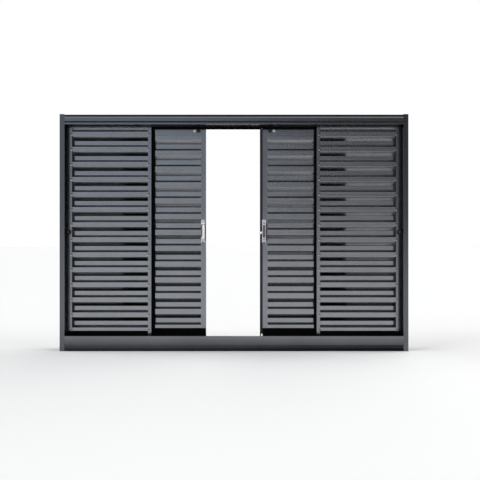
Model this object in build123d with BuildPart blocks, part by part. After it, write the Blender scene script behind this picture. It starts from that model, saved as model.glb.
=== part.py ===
# Louvred shutter window: an aluminium frame with two fixed and two sliding louvred leaves.
# X runs across the window, Y from the room side (negative) to the outside, Z up from the floor.
# All sizes are in millimetres.
from build123d import *
from dataclasses import dataclass
import os

os.makedirs("parts", exist_ok=True)

# Frame
frame_width = 1500.0
frame_height = 1020.0
frame_depth = 120.0
frame_wall = 2.0            # wall of the frame sections
jamb_face = 20.6            # width of a jamb seen from the room
jamb_return = 9.0           # depth of the jamb's front and back returns
jamb_back_lip = 16.0        # width of the jamb's outside lip
jamb_line_width = 1.6       # shallow line along the middle of the jamb's face
jamb_line_depth = 0.7
end_overrun = 2.0           # the jambs run past the head and the sill by this much
coping_gap = 0.5            # room around a jamb's lip or fin where the head or sill is notched

# Head section, from its lower edge up
head_lip = 7.5
head_groove = 7.0
head_panel = 14.0
head_ridge = 4.0
head_crown = 9.5
head_groove_depth = 3.5
head_panel_recess = 1.0
head_crown_lean = 3.0
head_return = 7.0           # depth of the return behind the lower lip

# Sill section, from its lower edge up
sill_toe = 12.0
sill_brow = 13.0
sill_line = 2.5
sill_face = 19.0
sill_lip_line = 3.5
sill_lip = 13.0
sill_toe_lean = 2.6         # how far the toe slopes back towards its top
sill_brow_lean = 1.2
sill_line_recess = 2.5
sill_face_recess = 1.2
sill_return = 5.0           # depth of the return under the toe
sill_upstand = 10.0         # depth of the hollow upstand on the room side
sill_deck = 20.0            # height of the deck between the tracks, above the sill's lower edge
sill_back = 32.0            # height of the outside lip, above the sill's lower edge

# Tracks
leaf_thickness = 24.0
track_pitch = 28.0
back_room = 8.0             # between the sliding leaves and the frame's back
rib_thickness = 2.0
rib_clearance = 3.0         # between a head rib and the bottom of a leaf's guide groove
running_rib = 24.0          # height above the deck of the ribs that sliding leaves run on
fixed_rib = 28.0            # height above the deck of the rib that the fixed leaves stand on
rib_entry = 12.0            # how far a running rib reaches into a sliding leaf's groove
fin_length = 14.0           # reach of the jamb's fins, from the web

# Leaves
leaf_wall = 1.6
leaf_entry = 8.0            # how far the leaves reach up into the head
groove_width = 16.0
opening_edge = 361.8        # from the middle of the window to a fixed leaf's inner edge
meeting_stile = 14.4        # face of a fixed leaf's inner stile, and of its rails
jamb_gap = 8.0              # between a fixed leaf and the jamb's web
fixed_skirt = 12.0          # the fixed leaf's bottom rail reaches this far below its face
fixed_groove = 12.0         # depth of the guide groove in the fixed leaf's top rail
sliding_stile = 22.0
sliding_bottom_rail = 50.0
sliding_top_rail = 49.0
sliding_rebate = 8.0        # height of the rebate along the top rail's lower edge
sliding_rebate_depth = 4.0
roller_groove = 30.0        # depth of the groove in the sliding leaf's bottom rail
guide_groove = 14.0         # depth of the groove in the sliding leaf's top rail
left_travel = 123.4         # how far each sliding leaf stands open from the middle
right_travel = 126.2

# Louvre blades, bent from sheet
blade_sheet = 1.2
blade_setback = 1.5         # from the leaf's front to the blade's front lip
crest_drop = 7.5
crest_depth = 6.0
web_drop = 18.0
fixed_web_depth = 20.0
sliding_web_depth = 16.0
blade_lap = 8.0             # how far a blade's back lip reaches below the next blade's crest
fixed_pitch = 65.9
fixed_lip = 20.0
fixed_first = 10.4          # from the top rail down to the highest whole crest
sliding_pitch = 69.85
sliding_lip = 22.5
sliding_first = 55.0
blade_end_gap = 0.2         # between a blade's end and its stile

# Latches
latch_width = 17.6
latch_height = 103.0
latch_thickness = 6.0
latch_rise = 6.5            # its middle, above the middle of the frame's height
latch_shift_left = 2.5      # from the middle of the stile, away from the middle of the window
latch_shift_right = -5.0
latch_corner = 4.0
latch_edge = 1.2
latch_waist = 1.0           # how far each long side curves in at the middle
pocket_width = 10.0
pocket_height = 57.0
pocket_depth = 4.6
pull_height = 66.0          # the pull bar of the left latch
pull_width = 8.0
pull_bow = 1.4              # how far its outer side bows out at the middle
pull_proud = 3.0
pull_foot = 9.0             # height of the foot that crosses the case
thumb_gap = 0.6             # around the lever in the right latch's pocket
lever_thickness = 1.6
lever_nub = 12.0            # height of the raised nub that the thumb pushes
lever_nub_proud = 2.0
tongue_level = -5.7         # from the middle of the latch
tongue_height = 8.6
tongue_reach = 9.0          # past the edge strip
tongue_hook = 6.0           # length of the hook's head
tongue_droop = 6.0          # how far the hook hangs below the tongue
tongue_thickness = 3.0
tongue_gap = 0.3            # between the tongue and the narrowest part of the case

# Edge strip of the right sliding leaf, which enters the left leaf's stile when the window is shut
strip_reach = 7.0
strip_thickness = 10.0
strip_gap = 1.0

# Rollers, guides and retainers
wheel_radius = 7.5          # at the bottom of the wheel's groove
wheel_flange = 9.5
wheel_width = 6.0
axle_radius = 2.0
roller_inset = 60.0         # from the leaf's edge to the wheel's axle
guide_length = 30.0
guide_height = 12.0
guide_gap = 0.6             # each side of the head rib
guide_inset = 26.0          # from the leaf's edge to the guide's end
slot_width = 10.0           # slot in the top rail's face, over the guide
slot_height = 26.0
slot_inset = 9.0            # from the stile's inner edge
slot_drop = 34.0            # from the leaf's top to the slot's lower edge
retainer_radius = 12.0
retainer_height = 5.0
retainer_stem = 4.0
retainer_gap = 0.2
retainer_inset = 16.7       # from the fixed leaf's outer edge to the retainer's middle
retainer_rise = 3.0         # its middle, above the middle of the frame's height

# Wall fixings
fixing_radius = 3.0
fixing_pitch = 600.0
fixing_count = 2

front = -frame_depth / 2
back = frame_depth / 2
sliding_front = back - back_room - leaf_thickness
fixed_front = sliding_front - track_pitch
spare_front = fixed_front - track_pitch
track_centres = [y + leaf_thickness / 2 for y in (spare_front, fixed_front, sliding_front)]
inner_web = frame_width / 2 - frame_wall
jamb_inner = frame_width / 2 - jamb_face
sill_foot = end_overrun
sill_top = sill_foot + sill_toe + sill_brow + sill_line + sill_face + sill_lip_line + sill_lip
head_top = frame_height - end_overrun
head_foot = head_top - head_lip - head_groove - head_panel - head_ridge - head_crown
deck = sill_foot + sill_deck
running_rib_top = deck + running_rib
fixed_foot = deck + fixed_rib
sliding_foot = running_rib_top - rib_entry
leaf_top = head_foot + leaf_entry
head_rib_foot = leaf_top - fixed_groove + rib_clearance
fixed_crest = leaf_top - meeting_stile - fixed_first
sliding_crest = leaf_top - sliding_top_rail - sliding_first
latch_centre = frame_height / 2 + latch_rise
retainer_level = frame_height / 2 + retainer_rise
fixed_outer = inner_web - jamb_gap
jamb_stile = fixed_outer - (inner_web - fin_length) + sliding_stile + rib_clearance
sliding_width = opening_edge + meeting_stile


def write(piece, name):
    """Label a finished piece and write it to its own file."""
    piece.part.label = name
    export_step(piece.part, f"parts/{name}.step")


def jamb(side):
    """One jamb, an open channel that faces the middle; side is -1 on the left and 1 on the right."""
    outer = side * frame_width / 2
    inward = Align.MIN if side < 0 else Align.MAX
    with BuildPart() as piece:
        with BuildSketch(Plane.XY):
            with Locations((outer, front)):
                Rectangle(frame_wall, frame_depth, align=(inward, Align.MIN))
                Rectangle(jamb_face, jamb_return, align=(inward, Align.MIN))
            with Locations((outer, back)):
                Rectangle(jamb_back_lip, frame_wall, align=(inward, Align.MAX))
            with Locations((outer - side * frame_wall, front + frame_wall)):
                Rectangle(jamb_face - 2 * frame_wall, jamb_return - 2 * frame_wall,
                          align=(inward, Align.MIN), mode=Mode.SUBTRACT)
            with Locations((outer - side * jamb_face / 2, front)):
                Rectangle(jamb_line_width, jamb_line_depth,
                          align=(Align.CENTER, Align.MIN), mode=Mode.SUBTRACT)
            with Locations([(outer, y) for y in track_centres]):
                Rectangle(frame_wall + fin_length, rib_thickness, align=(inward, Align.CENTER))
        extrude(amount=frame_height)
        across = Plane(origin=(outer, track_centres[0] - leaf_thickness / 2, frame_height / 2),
                       x_dir=(0, 1, 0), z_dir=(side, 0, 0))
        with BuildSketch(across):
            with GridLocations(fixing_pitch, fixing_pitch, 1, fixing_count):
                Circle(fixing_radius)
        extrude(amount=-frame_wall, mode=Mode.SUBTRACT)
    return piece


def cope(z_low, z_high):
    """Notch both ends of the head or sill in hand around the jambs' lips and fins."""
    height = z_high - z_low
    lip_reach = frame_width / 2 - jamb_back_lip - coping_gap
    fin_reach = inner_web - fin_length - coping_gap
    for side in (-1, 1):
        outward = Align.MIN if side > 0 else Align.MAX
        with Locations((side * jamb_inner, front, z_low)):
            Box(jamb_face, jamb_return + coping_gap, height,
                align=(outward, Align.MIN, Align.MIN), mode=Mode.SUBTRACT)
        with Locations((side * lip_reach, back, z_low)):
            Box(jamb_face, frame_wall + coping_gap, height,
                align=(outward, Align.MAX, Align.MIN), mode=Mode.SUBTRACT)
        with Locations([(side * fin_reach, y, z_low) for y in track_centres]):
            Box(jamb_face, rib_thickness + 2 * coping_gap, height,
                align=(outward, Align.CENTER, Align.MIN), mode=Mode.SUBTRACT)


with BuildPart() as frame_head:
    lip_top = head_foot + head_lip
    groove_top = lip_top + head_groove
    panel_top = groove_top + head_panel
    ridge_top = panel_top + head_ridge
    with BuildSketch(Plane.YZ):
        with BuildLine():
            Polyline(
                (front + head_return, head_foot),
                (front, head_foot),
                (front, lip_top),
                (front + head_groove_depth, groove_top),
                (front + head_panel_recess, groove_top),
                (front + head_panel_recess, panel_top),
                (front, ridge_top),
                (front + head_crown_lean, head_top),
                (back, head_top),
                (back, head_foot),
            )
            offset(amount=frame_wall, side=Side.RIGHT, kind=Kind.INTERSECTION)
        make_face()
        with Locations([(y, head_top - frame_wall) for y in track_centres]):
            Rectangle(rib_thickness, head_top - frame_wall - head_rib_foot,
                      align=(Align.CENTER, Align.MAX))
    extrude(amount=inner_web, both=True)
    cope(min(head_foot, head_rib_foot), head_top)
write(frame_head, "frame_head")

with BuildPart() as frame_sill:
    toe_top = sill_foot + sill_toe
    brow_top = toe_top + sill_brow
    line_top = brow_top + sill_line
    face_top = line_top + sill_face
    lip_foot = face_top + sill_lip_line
    toe_back = front + sill_toe_lean
    brow_back = toe_back + sill_brow_lean
    with BuildSketch(Plane.YZ):
        with BuildLine():
            Polyline(
                (front + sill_return, sill_foot),
                (front, sill_foot),
                (toe_back, toe_top),
                (brow_back, brow_top),
                (brow_back, line_top),
                (front + sill_face_recess, line_top),
                (front + sill_face_recess, face_top),
                (front + sill_line_recess, face_top),
                (front + sill_line_recess, lip_foot),
                (front, lip_foot),
                (front, sill_top),
                (front + sill_upstand, sill_top),
                (front + sill_upstand, sill_foot),
            )
            offset(amount=frame_wall, side=Side.RIGHT, kind=Kind.INTERSECTION)
        make_face()
        with Locations((front + sill_upstand - frame_wall, deck)):
            Rectangle(frame_depth - sill_upstand + frame_wall, frame_wall, align=(Align.MIN, Align.MAX))
        with Locations((back, sill_foot)):
            Rectangle(frame_wall, sill_back, align=(Align.MAX, Align.MIN))
        for y, rib in zip(track_centres, (running_rib, fixed_rib, running_rib)):
            with Locations((y, deck)):
                Rectangle(rib_thickness, rib, align=(Align.CENTER, Align.MIN))
    extrude(amount=inner_web, both=True)
    cope(sill_foot, sill_top)
write(frame_sill, "frame_sill")

for side, name in ((-1, "left"), (1, "right")):
    write(jamb(side), f"frame_jamb_{name}")


@dataclass
class Leaf:
    """One louvred leaf: where it stands and which of the two kinds it is."""

    name: str
    side: int
    near: float             # distance of its inner edge from the middle of the window
    far: float
    sliding: bool

    @property
    def y(self):
        return sliding_front if self.sliding else fixed_front

    @property
    def centre(self):
        return self.y + leaf_thickness / 2

    @property
    def face(self):
        """The plane of the leaf's front, with the sketch's own Y axis up."""
        return Plane(origin=(0, self.y, 0), x_dir=(1, 0, 0), z_dir=(0, -1, 0))

    @property
    def away(self):
        """The alignment of what reaches away from the middle of the window."""
        return Align.MAX if self.side < 0 else Align.MIN

    @property
    def toward(self):
        """The alignment of what reaches towards the middle of the window."""
        return Align.MIN if self.side < 0 else Align.MAX

    @property
    def near_stile(self):
        return sliding_stile if self.sliding else meeting_stile

    @property
    def far_stile(self):
        return sliding_stile if self.sliding else jamb_stile

    @property
    def foot(self):
        return sliding_foot if self.sliding else fixed_foot

    @property
    def lowest(self):
        return sliding_foot if self.sliding else fixed_foot - fixed_skirt

    @property
    def top_groove(self):
        return guide_groove if self.sliding else fixed_groove

    @property
    def bottom_groove(self):
        return roller_groove if self.sliding else fixed_skirt

    @property
    def takes_strip(self):
        """Whether the other sliding leaf's edge strip shuts into this leaf."""
        return self.sliding and self.side < 0

    @property
    def window_foot(self):
        return sliding_foot + sliding_bottom_rail if self.sliding else fixed_foot + meeting_stile

    @property
    def window_top(self):
        return leaf_top - (sliding_top_rail if self.sliding else meeting_stile)


leaves = [
    Leaf("left_fixed", -1, opening_edge, fixed_outer, False),
    Leaf("left_sliding", -1, left_travel, left_travel + sliding_width, True),
    Leaf("right_sliding", 1, right_travel, right_travel + sliding_width, True),
    Leaf("right_fixed", 1, opening_edge, fixed_outer, False),
]


def cut_grooves(leaf):
    """Cut the grooves along a leaf's top and bottom edges, for the tracks' ribs."""
    middle = leaf.side * (leaf.near + leaf.far) / 2
    length = leaf.far - leaf.near
    with Locations((middle, leaf.centre, leaf_top)):
        Box(length, groove_width, leaf.top_groove,
            align=(Align.CENTER, Align.CENTER, Align.MAX), mode=Mode.SUBTRACT)
    with Locations((middle, leaf.centre, leaf.lowest)):
        Box(length, groove_width, leaf.bottom_groove,
            align=(Align.CENTER, Align.CENTER, Align.MIN), mode=Mode.SUBTRACT)


def cut_chamber(leaf, x_near, x_far, z_low, z_high):
    """Cut the hollow inside a stile or rail."""
    with Locations((leaf.side * (x_near + x_far) / 2, leaf.centre, z_low)):
        Box(x_far - x_near, leaf_thickness - 2 * leaf_wall, z_high - z_low,
            align=(Align.CENTER, Align.CENTER, Align.MIN), mode=Mode.SUBTRACT)


def inner_stile(leaf):
    """The stile towards the middle, mitred on a fixed leaf and square on a sliding one."""
    mitre = 0 if leaf.sliding else leaf.near_stile
    inner = leaf.near + leaf.near_stile
    edge_groove = strip_reach + strip_gap if leaf.takes_strip else 0
    with BuildPart() as piece:
        with BuildSketch(leaf.face):
            Polygon(
                (leaf.side * leaf.near, leaf.foot),
                (leaf.side * inner, leaf.foot + mitre),
                (leaf.side * inner, leaf_top - mitre),
                (leaf.side * leaf.near, leaf_top),
                align=None,
            )
        extrude(amount=-leaf_thickness)
        near_wall = edge_groove + leaf_wall
        cut_chamber(leaf, leaf.near + near_wall, inner - leaf_wall, leaf.foot, leaf_top)
        cut_grooves(leaf)
        if leaf.takes_strip:
            with Locations((leaf.side * leaf.near, leaf.centre, leaf.foot)):
                Box(edge_groove, strip_thickness + 2 * strip_gap, leaf_top - leaf.foot,
                    align=(leaf.away, Align.CENTER, Align.MIN), mode=Mode.SUBTRACT)
    return piece


def outer_stile(leaf):
    """The stile away from the middle; a fixed leaf's has an open groove for the jamb's fin."""
    inner = leaf.far - leaf.far_stile
    fin_groove = 0 if leaf.sliding else leaf.far - (inner_web - fin_length) + rib_clearance
    with BuildPart() as piece:
        with BuildSketch(leaf.face):
            Polygon(
                (leaf.side * leaf.far, leaf.foot),
                (leaf.side * inner, leaf.foot),
                (leaf.side * inner, leaf_top),
                (leaf.side * leaf.far, leaf_top),
                align=None,
            )
        extrude(amount=-leaf_thickness)
        cut_chamber(leaf, inner + leaf_wall, leaf.far - fin_groove - leaf_wall, leaf.foot, leaf_top)
        cut_grooves(leaf)
        if not leaf.sliding:
            with Locations((leaf.side * leaf.far, leaf.centre, leaf.foot)):
                Box(fin_groove, groove_width, leaf_top - leaf.foot,
                    align=(leaf.toward, Align.CENTER, Align.MIN), mode=Mode.SUBTRACT)
            with BuildSketch(leaf.face):
                with Locations((leaf.side * (leaf.far - retainer_inset), retainer_level)):
                    Circle(retainer_stem + retainer_gap)
            extrude(amount=-leaf_wall, mode=Mode.SUBTRACT)
    return piece


def top_rail(leaf):
    """The top rail, with the groove that the head's rib guides it by."""
    near = leaf.near + leaf.near_stile
    far = leaf.far - leaf.far_stile
    top_near = near if leaf.sliding else leaf.near
    with BuildPart() as piece:
        with BuildSketch(leaf.face):
            Polygon(
                (leaf.side * near, leaf.window_top),
                (leaf.side * far, leaf.window_top),
                (leaf.side * far, leaf_top),
                (leaf.side * top_near, leaf_top),
                align=None,
            )
        extrude(amount=-leaf_thickness)
        cut_grooves(leaf)
        if leaf.sliding:
            slot_middle = leaf.side * (near + slot_inset + slot_width / 2)
            chamber_foot = leaf.window_top + sliding_rebate + leaf_wall
            cut_chamber(leaf, near, far, chamber_foot, leaf_top - leaf.top_groove - leaf_wall)
            with Locations((leaf.side * (near + far) / 2, leaf.y, leaf.window_top)):
                Box(far - near, sliding_rebate_depth, sliding_rebate,
                    align=(Align.CENTER, Align.MIN, Align.MIN), mode=Mode.SUBTRACT)
            with Locations((slot_middle, leaf.y, leaf_top - slot_drop)):
                Box(slot_width, 2 * leaf_wall, slot_height,
                    align=(Align.CENTER, Align.CENTER, Align.MIN), mode=Mode.SUBTRACT)
    return piece


def bottom_rail(leaf):
    """The bottom rail, an upturned channel over the track's rib."""
    near = leaf.near + leaf.near_stile
    far = leaf.far - leaf.far_stile
    low_near = near if leaf.sliding else leaf.near
    with BuildPart() as piece:
        with BuildSketch(leaf.face):
            corners = [
                (leaf.side * near, leaf.window_foot),
                (leaf.side * far, leaf.window_foot),
                (leaf.side * far, leaf.lowest),
                (leaf.side * low_near, leaf.lowest),
            ]
            if not leaf.sliding:
                corners.append((leaf.side * low_near, leaf.foot))
            Polygon(*corners, align=None)
        extrude(amount=-leaf_thickness)
        cut_grooves(leaf)
        cut_chamber(leaf, low_near, far, leaf.lowest + leaf.bottom_groove + leaf_wall,
                    leaf.window_foot - leaf_wall)
    return piece


def blades(leaf):
    """The leaf's louvre blades, each bent from one strip and cut to the space between the rails.

    The lines follow the back of the sheet, so its thickness rounds the bends that stand out to the room.
    """
    pitch = sliding_pitch if leaf.sliding else fixed_pitch
    lip = sliding_lip if leaf.sliding else fixed_lip
    crest = sliding_crest if leaf.sliding else fixed_crest
    web_depth = sliding_web_depth if leaf.sliding else fixed_web_depth
    y = leaf.y + blade_setback + blade_sheet
    length = leaf.far - leaf.near - leaf.near_stile - leaf.far_stile - 2 * blade_end_gap
    middle_x = leaf.side * (leaf.near + leaf.near_stile + leaf.far - leaf.far_stile) / 2
    tops = []
    top = crest + pitch
    while top - crest_drop - lip / 2 > leaf.window_foot:
        tops.append(top)
        top -= pitch
    with BuildPart() as piece:
        with BuildSketch(Plane.YZ.offset(middle_x)):
            for top in tops:
                knee = top - crest_drop
                lip_foot = knee - lip
                web_foot = lip_foot - web_drop
                tail = top - pitch - blade_lap
                with BuildLine():
                    Polyline(
                        (y + crest_depth, top),
                        (y, knee),
                        (y, lip_foot),
                        (y + web_depth, web_foot),
                        (y + web_depth, tail),
                    )
                    offset(amount=blade_sheet, side=Side.RIGHT, kind=Kind.ARC)
                make_face()
            with Locations((leaf.y, leaf.window_foot)):
                Rectangle(leaf_thickness, leaf.window_top - leaf.window_foot,
                          align=(Align.MIN, Align.MIN), mode=Mode.INTERSECT)
        extrude(amount=length / 2, both=True)
    return piece


for leaf in leaves:
    write(inner_stile(leaf), f"{leaf.name}_inner_stile")
    write(outer_stile(leaf), f"{leaf.name}_outer_stile")
    write(top_rail(leaf), f"{leaf.name}_top_rail")
    write(bottom_rail(leaf), f"{leaf.name}_bottom_rail")
    write(blades(leaf), f"{leaf.name}_blades")


def rollers(leaf):
    """The two grooved wheels under a sliding leaf, each on its axle across the rail's groove.

    The flanks of a wheel's groove rest on the two edges of the rib.
    """
    groove_slope = (wheel_flange - wheel_radius) / (wheel_width / 2)
    axle_level = running_rib_top + wheel_radius + groove_slope * rib_thickness / 2
    with BuildPart() as piece:
        for x in (leaf.near + roller_inset, leaf.far - roller_inset):
            hub = (leaf.side * x, leaf.centre, axle_level)
            with BuildSketch(Plane(origin=hub, x_dir=(0, 1, 0), z_dir=(1, 0, 0))):
                with BuildLine():
                    Polyline(
                        (-groove_width / 2, 0),
                        (-groove_width / 2, axle_radius),
                        (-wheel_width / 2, axle_radius),
                        (-wheel_width / 2, wheel_flange),
                        (0, wheel_radius),
                        (wheel_width / 2, wheel_flange),
                        (wheel_width / 2, axle_radius),
                        (groove_width / 2, axle_radius),
                        (groove_width / 2, 0),
                        close=True,
                    )
                make_face()
            revolve(axis=Axis(hub, (0, 1, 0)))
    return piece


def guides(leaf):
    """The two plastic guides in a sliding leaf's top groove, each slotted for the head's rib."""
    rib_slot = rib_thickness + 2 * guide_gap
    with BuildPart() as piece:
        for x in (leaf.near + guide_inset, leaf.far - guide_inset - guide_length):
            across = Plane.YZ.offset(leaf.side * (x + guide_length / 2))
            with BuildSketch(across):
                with Locations((leaf.centre, leaf_top - leaf.top_groove)):
                    Rectangle(groove_width, guide_height, align=(Align.CENTER, Align.MIN))
                with Locations((leaf.centre, leaf_top - leaf.top_groove + leaf_wall)):
                    Rectangle(rib_slot, guide_height, align=(Align.CENTER, Align.MIN), mode=Mode.SUBTRACT)
            extrude(amount=guide_length / 2, both=True)
    return piece


def latch_middle(leaf):
    """The distance of a latch's middle from the middle of the window."""
    shift = latch_shift_left if leaf.side < 0 else latch_shift_right
    return leaf.near + leaf.near_stile / 2 + shift


def stile_front(leaf):
    """The plane on the front of a sliding leaf's inner stile, at the middle of its latch."""
    return Plane(origin=(leaf.side * latch_middle(leaf), leaf.y, latch_centre),
                 x_dir=(1, 0, 0), z_dir=(0, -1, 0))


def latch_case(leaf):
    """The latch case, waisted along its sides, with a pocket in its front for the thumb or fingers."""
    half_width = latch_width / 2
    half_height = latch_height / 2
    pocket_x = 0 if leaf.side > 0 else (pocket_width - pull_width) / 2 - pull_width / 2
    with BuildPart() as piece:
        with BuildSketch(stile_front(leaf)) as outline:
            with BuildLine():
                right = ThreePointArc(
                    (half_width, -half_height), (half_width - latch_waist, 0), (half_width, half_height))
                top = Line(right @ 1, (-half_width, half_height))
                left = ThreePointArc(
                    top @ 1, (latch_waist - half_width, 0), (-half_width, -half_height))
                Line(left @ 1, right @ 0)
            make_face()
            fillet(outline.vertices(), latch_corner)
        extrude(amount=latch_thickness)
        chamfer(piece.faces().sort_by(Axis.Y)[0].edges(), latch_edge)
        with BuildSketch(stile_front(leaf).offset(latch_thickness)):
            with Locations((pocket_x, 0)):
                SlotOverall(pocket_height, pocket_width, rotation=90)
        extrude(amount=-pocket_depth, mode=Mode.SUBTRACT)
    return piece


def latch_pull(leaf):
    """The bowed pull bar on the left latch, beside its pocket, with a foot across the case below it."""
    inner = (latch_width - latch_edge) / 2 - latch_waist - pull_bow - pull_width
    outer = inner + pull_width
    with BuildPart() as piece:
        with BuildSketch(stile_front(leaf).offset(latch_thickness)) as outline:
            with BuildLine():
                bow = ThreePointArc(
                    (outer, -pull_height / 2), (outer + pull_bow, 0), (outer, pull_height / 2))
                Polyline(
                    bow @ 1,
                    (inner, pull_height / 2),
                    (inner, pull_foot - pull_height / 2),
                    (-outer, pull_foot - pull_height / 2),
                    (-outer, -pull_height / 2),
                    bow @ 0,
                )
            make_face()
            fillet(outline.vertices(), latch_edge)
        extrude(amount=pull_proud)
        chamfer(piece.faces().sort_by(Axis.Y)[0].edges(), latch_edge / 2)
    return piece


def latch_lever(leaf):
    """The lever in the right latch's pocket, with a raised nub that the thumb pushes."""
    floor = stile_front(leaf).offset(latch_thickness - pocket_depth)
    with BuildPart() as piece:
        with BuildSketch(floor):
            SlotOverall(pocket_height - 2 * thumb_gap, pocket_width - 2 * thumb_gap, rotation=90)
        extrude(amount=lever_thickness)
        with BuildSketch(floor.offset(lever_thickness)):
            with Locations((0, tongue_level)):
                RectangleRounded(pocket_width - 4 * thumb_gap, lever_nub, latch_edge)
        extrude(amount=lever_nub_proud)
    return piece


def latch_tongue(leaf):
    """The tongue that reaches past the leaf's edge and hooks down behind the other latch."""
    edge = latch_middle(leaf) - latch_width / 2 + latch_waist - tongue_gap
    reach = edge - leaf.near + strip_reach + tongue_reach
    corner = Plane(origin=(leaf.side * edge, leaf.y, latch_centre + tongue_level),
                   x_dir=(-leaf.side, 0, 0), z_dir=(0, leaf.side, 0))
    with BuildPart() as piece:
        with BuildSketch(corner) as outline:
            with BuildLine():
                Polyline(
                    (0, -tongue_height / 2),
                    (reach - tongue_hook, -tongue_height / 2),
                    (reach - tongue_hook, -tongue_height / 2 - tongue_droop),
                    (reach - tongue_hook / 2, -tongue_height / 2 - tongue_droop),
                    (reach, 0),
                    (reach - tongue_hook / 2, tongue_height / 2),
                    (0, tongue_height / 2),
                    close=True,
                )
            make_face()
            fillet(outline.vertices().filter_by(lambda v: abs(v.X - leaf.side * edge) > latch_edge), latch_edge)
        extrude(amount=-leaf.side * tongue_thickness)
    return piece


def edge_strip(leaf):
    """The strip along a sliding leaf's meeting edge."""
    with BuildPart() as piece:
        with Locations((leaf.side * leaf.near, leaf.centre, leaf.foot + roller_groove)):
            Box(strip_reach, strip_thickness, leaf_top - guide_groove - leaf.foot - roller_groove,
                align=(leaf.toward, Align.CENTER, Align.MIN))
    return piece


def retainer(leaf):
    """The round plastic cap that holds a fixed leaf's outer stile, with its stem in the stile."""
    x = leaf.side * (leaf.far - retainer_inset)
    turned = Plane(origin=(x, leaf.y, retainer_level), x_dir=(1, 0, 0), z_dir=(0, 0, 1))
    with BuildPart() as piece:
        with BuildSketch(turned):
            with BuildLine():
                Polyline(
                    (0, -retainer_height),
                    (retainer_radius - leaf_wall, -retainer_height),
                    (retainer_radius, -retainer_height / 2),
                    (retainer_radius, 0),
                    (retainer_stem, 0),
                    (retainer_stem, leaf_wall),
                    (0, leaf_wall),
                    close=True,
                )
            make_face()
        revolve(axis=Axis((x, leaf.y, retainer_level), (0, 1, 0)))
    return piece


for leaf in leaves:
    if leaf.sliding:
        write(rollers(leaf), f"{leaf.name}_rollers")
        write(guides(leaf), f"{leaf.name}_guides")
        write(latch_case(leaf), f"{leaf.name}_latch_case")
        thumb = latch_lever(leaf) if leaf.side > 0 else latch_pull(leaf)
        write(thumb, f"{leaf.name}_latch_thumb")
        if leaf.side > 0:
            write(edge_strip(leaf), f"{leaf.name}_edge_strip")
            write(latch_tongue(leaf), f"{leaf.name}_latch_tongue")
    else:
        write(retainer(leaf), f"{leaf.name}_retainer")
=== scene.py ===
"""The louvred shutter window, dressed around its packed sections: finishes, small fittings and the studio."""
import logging
import math
from collections.abc import Iterable
from dataclasses import dataclass, replace
from enum import Enum, IntEnum
from functools import cache

import bmesh
import bpy
from mathutils import Matrix, Vector


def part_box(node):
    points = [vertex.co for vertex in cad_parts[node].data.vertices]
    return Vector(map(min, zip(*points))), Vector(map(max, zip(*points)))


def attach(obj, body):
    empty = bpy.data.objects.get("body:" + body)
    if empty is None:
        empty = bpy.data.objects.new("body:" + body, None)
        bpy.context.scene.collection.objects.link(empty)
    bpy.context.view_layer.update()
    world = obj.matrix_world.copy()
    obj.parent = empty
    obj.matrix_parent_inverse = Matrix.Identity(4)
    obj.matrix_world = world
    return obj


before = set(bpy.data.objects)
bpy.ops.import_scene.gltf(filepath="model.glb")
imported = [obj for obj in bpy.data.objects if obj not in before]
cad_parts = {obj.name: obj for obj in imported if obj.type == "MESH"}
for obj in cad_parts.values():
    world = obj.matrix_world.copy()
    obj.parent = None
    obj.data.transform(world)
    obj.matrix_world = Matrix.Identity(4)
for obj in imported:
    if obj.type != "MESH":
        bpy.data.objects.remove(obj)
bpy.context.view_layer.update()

log = logging.getLogger("window")

MM = 0.001                      # metres in a millimetre
ROOT = "root"                   # the one body, because nothing here has a joint
IMAGE_SIDE = 480                # pixels along each side of the picture
COLOUR_A, COLOUR_B, MIXED = 6, 7, 2     # the colour sockets of Blender's Mix node
WHITE = "#ffffff"

Span = tuple[float, float]      # two numbers that belong together, such as the ends of a range


class Grain(Enum):
    """The axis along which a section was drawn, rolled or brushed."""

    X = 0
    Y = 1
    Z = 2

    def spacing(self, along_mm: float, across_mm: float) -> tuple[float, float, float]:
        """The pattern's spacing on each axis.

        Args:
            along_mm: spacing along the grain.
            across_mm: spacing across the grain.

        Returns:
            Three spacings in millimetres, in X, Y, Z order.
        """
        return tuple(along_mm if axis == self.value else across_mm for axis in range(3))


class Side(IntEnum):
    """A half of the window as seen from the room; the value is its direction along X."""

    LEFT = -1
    RIGHT = 1


class Kind(Enum):
    """How a leaf stands in the frame."""

    FIXED = "fixed"
    SLIDING = "sliding"


class Slot(Enum):
    """The record's material slots; no piece here takes its finish from them."""

    BLACK_PLASTIC = "black_plastic"
    LATCH = "latch"


class Ramp(Enum):
    """How a mapped value runs between its two ends."""

    STRAIGHT = "LINEAR"
    SMOOTH = "SMOOTHSTEP"


def linear(colour: str) -> tuple[float, float, float, float]:
    """Turn an sRGB hex colour into linear light.

    Args:
        colour: a colour such as "#8a8f96".

    Returns:
        Red, green, blue and an alpha of 1.
    """
    parts = [int(colour[i:i + 2], 16) / 255 for i in (1, 3, 5)]
    light = [c / 12.92 if c <= 0.04045 else ((c + 0.055) / 1.055) ** 2.4 for c in parts]
    return (*light, 1.0)


def add_node(tree: bpy.types.NodeTree, kind: str, sockets: dict | None = None, **settings) -> bpy.types.Node:
    """Add a node with its settings and links.

    Args:
        tree: the node tree.
        kind: Blender's name of the node type.
        sockets: for each input, by name or number, a value or the output that feeds it.
        **settings: the node's own properties.

    Returns:
        The new node.
    """
    node = tree.nodes.new(kind)
    for name, value in settings.items():
        setattr(node, name, value)
    for key, value in (sockets or {}).items():
        if isinstance(value, bpy.types.NodeSocket):
            tree.links.new(value, node.inputs[key])
        else:
            node.inputs[key].default_value = value
    return node


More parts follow.
